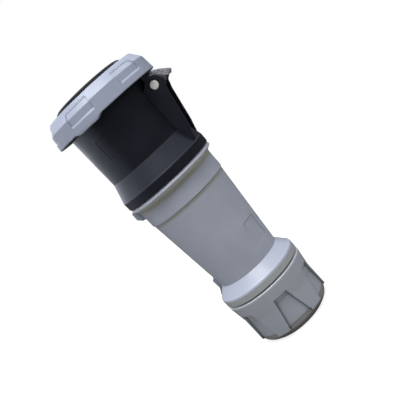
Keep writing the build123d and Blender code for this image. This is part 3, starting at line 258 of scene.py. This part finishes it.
class Nodes:
    """A material's node tree with short ways to add to it."""

    def __init__(self, name):
        self.material = bpy.data.materials.new(name)
        self.material.use_nodes = True
        self.tree = self.material.node_tree
        self.main = self.tree.nodes["Principled BSDF"]
        self.place = self.add("ShaderNodeTexCoord").outputs["Object"]

    def add(self, kind, **values):
        node = self.tree.nodes.new(kind)
        for key, value in values.items():
            setattr(node, key, value)
        return node

    def link(self, source, target):
        self.tree.links.new(source, target)

    def noise(self, scale, detail, rough, stretch=None):
        spot = self.place
        if stretch:
            mapping = self.add("ShaderNodeMapping")
            mapping.inputs["Scale"].default_value = stretch
            self.link(self.place, mapping.inputs["Vector"])
            spot = mapping.outputs["Vector"]
        node = self.add("ShaderNodeTexNoise")
        node.inputs["Scale"].default_value = scale
        node.inputs["Detail"].default_value = detail
        node.inputs["Roughness"].default_value = rough
        self.link(spot, node.inputs["Vector"])
        return node.outputs["Fac"]

    def spread(self, source, low, high, to_low, to_high):
        """The source's range low..high carried to to_low..to_high, held at the ends."""
        node = self.add("ShaderNodeMapRange")
        node.inputs["From Min"].default_value = low
        node.inputs["From Max"].default_value = high
        node.inputs["To Min"].default_value = to_low
        node.inputs["To Max"].default_value = to_high
        self.link(source, node.inputs["Value"])
        return node.outputs["Result"]

    def pattern(self, kind, to_low, to_high, stretch=None):
        """A named noise, its range that counts carried to to_low..to_high."""
        scale, detail, rough, low, high = PATTERNS[kind]
        return self.spread(self.noise(scale, detail, rough, stretch), low, high, to_low, to_high)

    def mix(self, share, first, second):
        """A colour between two, each a socket or a fixed colour."""
        node = self.add("ShaderNodeMix", data_type="RGBA")
        self.link(share, node.inputs["Factor"])
        for place, value in zip(MIX_INPUTS, (first, second)):
            if isinstance(value, tuple):
                node.inputs[place].default_value = (*value, 1.0)
            else:
                self.link(value, node.inputs[place])
        return node.outputs[MIX_OUTPUT]

    def product(self, first, second):
        """Two values multiplied, the second a socket or a number."""
        node = self.add("ShaderNodeMath", operation="MULTIPLY")
        self.link(first, node.inputs[0])
        if isinstance(second, float):
            node.inputs[1].default_value = second
        else:
            self.link(second, node.inputs[1])
        return node.outputs[0]

    def height_of(self, source):
        split = self.add("ShaderNodeSeparateXYZ")
        self.link(source, split.inputs[0])
        return split.outputs["Z"]

    def between(self, low, high):
        """1 between two heights on the main axis, and 0 outside them."""
        height = self.height_of(self.place)
        above = self.spread(height, low - PAINT_FADE, low, 0.0, 1.0)
        return self.product(above, self.spread(height, high, high + PAINT_FADE, 1.0, 0.0))

    def facing_down(self, low, high):
        """1 between two heights on what faces down in the piece's own space, and 0 elsewhere."""
        geometry = self.add("ShaderNodeNewGeometry")
        turn = self.add("ShaderNodeVectorTransform", vector_type="NORMAL")
        turn.convert_from = "WORLD"
        turn.convert_to = "OBJECT"
        self.link(geometry.outputs["True Normal"], turn.inputs[0])
        down = self.spread(self.height_of(turn.outputs[0]), *DOWN_RANGE, 1.0, 0.0)
        return self.product(down, self.between(low, high))

    def beyond(self, direction, distance):
        """1 past a plane, and 0 before it."""
        along = self.add("ShaderNodeVectorMath", operation="DOT_PRODUCT")
        self.link(self.place, along.inputs[0])
        along.inputs[1].default_value = direction
        return self.spread(along.outputs["Value"], distance - PAINT_FADE, distance, 0.0, 1.0)

    def edges(self, radius):
        """1 on edges and 0 on flats, with the rounded normal that goes with it."""
        bevel = self.add("ShaderNodeBevel", samples=EDGE_SAMPLES)
        bevel.inputs["Radius"].default_value = radius
        geometry = self.add("ShaderNodeNewGeometry")
        dot = self.add("ShaderNodeVectorMath", operation="DOT_PRODUCT")
        self.link(bevel.outputs["Normal"], dot.inputs[0])
        self.link(geometry.outputs["Normal"], dot.inputs[1])
        return self.spread(dot.outputs["Value"], *EDGE_RANGE, 0.0, 1.0), bevel.outputs["Normal"]

    def corners(self, reach):
        """1 deep in corners and 0 on open surfaces."""
        hidden = self.add("ShaderNodeAmbientOcclusion", samples=CORNER_SAMPLES, only_local=False)
        hidden.inputs["Distance"].default_value = reach
        return self.spread(hidden.outputs["AO"], *CORNER_RANGE, 1.0, 0.0)

    def bump(self, scale, detail, rough, depth, strength, normal, stretch=None):
        """A normal with a noise pressed into it, its depth in mm."""
        node = self.add("ShaderNodeBump")
        node.inputs["Strength"].default_value = strength
        node.inputs["Distance"].default_value = depth * MM
        self.link(self.noise(scale, detail, rough, stretch), node.inputs["Height"])
        self.link(normal, node.inputs["Normal"])
        return node.outputs["Normal"]


def paint(n, look, colour):
    """Bands, the lever's plate and painted light glowing on the pockets' sloped face over the base
    colour.
    """
    for tone, low, high in look["bands"]:
        colour = n.mix(n.between(low * MM, high * MM), colour, linear(tone))
    if look["plate"]:
        tone, (first, near), (second, far) = look["plate"]
        share = n.product(n.beyond(first, near * MM), n.beyond(second, far * MM))
        colour = n.mix(share, colour, linear(tone))
    # Painted light: the pockets' downward sloped face is made black and glows with the given colour
    if look["slope"]:
        tone, low, high, lift = look["slope"]
        share = n.facing_down(low * MM, high * MM)
        colour = n.mix(share, colour, BLACK)
        n.main.inputs["Emission Color"].default_value = (*linear(tone), 1.0)
        n.link(n.spread(share, 0.0, 1.0, 0.0, lift), n.main.inputs["Emission Strength"])
    return colour


def weather_and_corner_shade(n, look, colour, base, worn):
    """Specks, worn edges, scuffs and painted shade in the corners over a colour."""
    start = look["speck_from"]
    speck = n.spread(n.noise(*SPECK), start, start + SPECK_FADE, 0.0, look["speck_share"])
    colour = n.mix(speck, colour, shade(base, look["speck_tone"]))
    pale = tuple(min(1.0, c * PALE_TIMES + PALE_PLUS) for c in base)
    colour = n.mix(n.product(worn, n.pattern("wear", 0.0, look["edge"])), colour, pale)
    colour = n.mix(n.pattern("scuff", 0.0, look["scuffs"], SCUFF_STRETCH), colour, pale)
    # Painted shade: the colour is darkened where ambient occlusion finds corners and recesses
    painted_shade = n.product(n.corners(look["reach"] * MM), look["corner_shade"])
    return n.mix(painted_shade, colour, shade(base, PAINTED_SHADE_TONE))


def moulded(name, changes):
    """Moulded plastic: blotches, fine spark-eroded grain, worn edges, faint scuffs, painted shade in
    the corners.
    """
    look = {**MOULDED, **changes}
    n = Nodes(name)
    base = linear(COLOURS[name])
    blotch = n.pattern("blotch", 0.0, 1.0)
    colour = n.mix(blotch, shade(base, 1 - look["spread"]), shade(base, 1 + look["spread"]))
    worn, rounded = n.edges(look["soft"] * MM)
    colour = weather_and_corner_shade(n, look, paint(n, look, colour), base, worn)
    n.link(colour, n.main.inputs["Base Color"])
    n.main.inputs["IOR"].default_value = PLASTIC_IOR
    n.main.inputs["Specular IOR Level"].default_value = look["mirror"]
    n.main.inputs["Specular Tint"].default_value = (*look["tint"], 1.0)
    rough = n.pattern("gloss", look["rough"] - GLOSS_DOWN, look["rough"] + GLOSS_UP)
    n.link(rough, n.main.inputs["Roughness"])
    grain = (look["grain"], GRAIN_DETAIL, GRAIN_ROUGH, look["grain_depth"], GRAIN_STRENGTH)
    n.link(n.bump(*WAVE, n.bump(*grain, rounded)), n.main.inputs["Normal"])
    return n.material


def rubber(name):
    """Matt rubber with a dusty bloom and fine pores."""
    n = Nodes(name)
    base = linear(COLOURS[name])
    bloom = n.pattern("bloom", 0.0, RUBBER_BLOOM)
    n.link(n.mix(bloom, base, shade(base, BLOOM_TONE)), n.main.inputs["Base Color"])
    n.link(n.pattern("dust", *RUBBER_ROUGH), n.main.inputs["Roughness"])
    _, rounded = n.edges(RUBBER_SOFT * MM)
    n.link(n.bump(*PORE, rounded), n.main.inputs["Normal"])
    return n.material


def metal(name, rough, stretch, share):
    """Bright metal with tool marks, stains and small scratches."""
    n = Nodes(name)
    base = linear(COLOURS[name])
    stain = n.pattern("stain", 0.0, METAL_STAIN)
    n.link(n.mix(stain, base, shade(base, STAIN_TONE)), n.main.inputs["Base Color"])
    n.main.inputs["Metallic"].default_value = share
    n.link(n.pattern("polish", rough - POLISH_DOWN, rough + POLISH_UP), n.main.inputs["Roughness"])
    _, rounded = n.edges(METAL_SOFT * MM)
    n.link(n.bump(*MARK, rounded, stretch), n.main.inputs["Normal"])
    return n.material


def make_materials():
    """All materials, by the name of their slot."""
    materials = {name: moulded(name, changes) for name, changes in PLASTICS.items()}
    materials["seal_rubber"] = rubber("seal_rubber")
    for name, values in METALS.items():
        materials[name] = metal(name, *values)
    return materials


def dress(materials):
    """Every CAD node gets its slot's material, or its own where it has one."""
    for part in frame["record"]["subparts"]:
        node = frame["nodes"][part["node"]]
        slot = OWN_MATERIALS.get(part["node"], part["material_slot"])
        node.data.materials.clear()
        node.data.materials.append(materials[slot])


def make_camera():
    data = bpy.data.cameras.new("view")
    data.lens = CAM_LENS
    data.sensor_width = CAM_SENSOR
    camera = bpy.data.objects.new("view", data)
    camera.location = CAM_PLACE
    camera.rotation_euler = Euler([radians(a) for a in CAM_TURN], "XYZ")
    bpy.context.scene.collection.objects.link(camera)
    bpy.context.scene.camera = camera


def make_key_light():
    data = bpy.data.lights.new("key", "AREA")
    data.shape = "DISK"
    data.size = KEY_SIZE
    data.energy = KEY_POWER
    data.color = KEY_COLOUR
    lamp = bpy.data.objects.new("key", data)
    direction = Vector(KEY_FROM).normalized()
    lamp.location = LIGHT_AIM + direction * KEY_AWAY
    lamp.rotation_euler = direction.to_track_quat("Z", "Y").to_euler()
    bpy.context.scene.collection.objects.link(lamp)


def glow_from(tree, side, span, low, high):
    """World light that rises from low to high towards one side."""
    place = tree.nodes.new("ShaderNodeTexCoord")
    toward = tree.nodes.new("ShaderNodeVectorMath")
    toward.operation = "DOT_PRODUCT"
    toward.inputs[1].default_value = Vector(side).normalized()
    tree.links.new(place.outputs["Generated"], toward.inputs[0])
    ramp = tree.nodes.new("ShaderNodeMapRange")
    ramp.interpolation_type = "SMOOTHSTEP"
    ramp.inputs["From Min"].default_value = span[0]
    ramp.inputs["From Max"].default_value = span[1]
    ramp.inputs["To Min"].default_value = low
    ramp.inputs["To Max"].default_value = high
    tree.links.new(toward.outputs["Value"], ramp.inputs["Value"])
    return ramp.outputs["Result"]


def glowing(tree, node, colour, first, second):
    """A background of one colour, as strong as the brighter of two glows."""
    both = tree.nodes.new("ShaderNodeMath")
    both.operation = "MAXIMUM"
    tree.links.new(first, both.inputs[0])
    tree.links.new(second, both.inputs[1])
    node.inputs["Color"].default_value = (*colour, 1.0)
    tree.links.new(both.outputs[0], node.inputs["Strength"])
    return node.outputs[0]


def choose(tree, ray, usual, other):
    """The usual shader, and the other one for rays of one kind."""
    node = tree.nodes.new("ShaderNodeMixShader")
    tree.links.new(ray, node.inputs["Fac"])
    tree.links.new(usual, node.inputs[1])
    tree.links.new(other, node.inputs[2])
    return node.outputs[0]


def make_sky():
    """Soft even light; shiny surfaces mirror the studio, and the camera sees plain white."""
    world = bpy.data.worlds.new("studio")
    world.use_nodes = True
    bpy.context.scene.world = world
    tree = world.node_tree
    right = glow_from(tree, RIGHT_SIDE, RIGHT_RANGE, SKY_LIGHT, RIGHT_LIGHT)
    left = glow_from(tree, LEFT_SIDE, LEFT_RANGE, SKY_LIGHT, LEFT_LIGHT)
    wall = glow_from(tree, WALL_SIDE, WALL_RANGE, ROOM_LIGHT, WALL_LIGHT)
    ceiling = glow_from(tree, CEILING_SIDE, CEILING_RANGE, ROOM_LIGHT, CEILING_LIGHT)
    soft = glowing(tree, tree.nodes["Background"], SKY_COLOUR, right, left)
    studio = tree.nodes.new("ShaderNodeBackground")
    mirrored = glowing(tree, studio, MIRROR_COLOUR, wall, ceiling)
    white = tree.nodes.new("ShaderNodeBackground")
    white.inputs["Color"].default_value = (*WHITE, 1.0)
    path = tree.nodes.new("ShaderNodeLightPath")
    light = choose(tree, path.outputs["Is Glossy Ray"], soft, mirrored)
    seen = choose(tree, path.outputs["Is Camera Ray"], light, white.outputs[0])
    tree.links.new(seen, tree.nodes["World Output"].inputs["Surface"])


def floor_material():
    """Matt and pale, lifted to white where the camera sees it, and dim in mirrors."""
    material = bpy.data.materials.new("floor")
    material.use_nodes = True
    tree = material.node_tree
    main = tree.nodes["Principled BSDF"]
    main.inputs["Base Color"].default_value = (*FLOOR_TONE, 1.0)
    main.inputs["Roughness"].default_value = FLOOR_ROUGH
    main.inputs["Specular IOR Level"].default_value = 0.0
    main.inputs["Emission Color"].default_value = (*WHITE, 1.0)
    path = tree.nodes.new("ShaderNodeLightPath")
    lift = tree.nodes.new("ShaderNodeMath")
    lift.operation = "MULTIPLY"
    lift.inputs[1].default_value = FLOOR_LIFT
    tree.links.new(path.outputs["Is Camera Ray"], lift.inputs[0])
    tree.links.new(lift.outputs[0], main.inputs["Emission Strength"])
    mirrored = tree.nodes.new("ShaderNodeEmission")
    mirrored.inputs["Strength"].default_value = FLOOR_MIRRORED
    surface = choose(tree, path.outputs["Is Glossy Ray"], main.outputs[0], mirrored.outputs[0])
    tree.links.new(surface, tree.nodes["Material Output"].inputs["Surface"])
    return material


def make_floor():
    """A pale floor that keeps the object's shadow."""
    half = FLOOR_SIZE / 2
    mesh = bpy.data.meshes.new("floor")
    corners = [(-half, -half, 0), (half, -half, 0), (half, half, 0), (-half, half, 0)]
    mesh.from_pydata(corners, [], [(0, 1, 2, 3)])
    mesh.materials.append(floor_material())
    floor = bpy.data.objects.new("floor", mesh)
    bpy.context.scene.collection.objects.link(floor)


bpy.context.scene.view_settings.view_transform = "Standard"
make_camera()
make_sky()
make_floor()
make_key_light()
dress(make_materials())
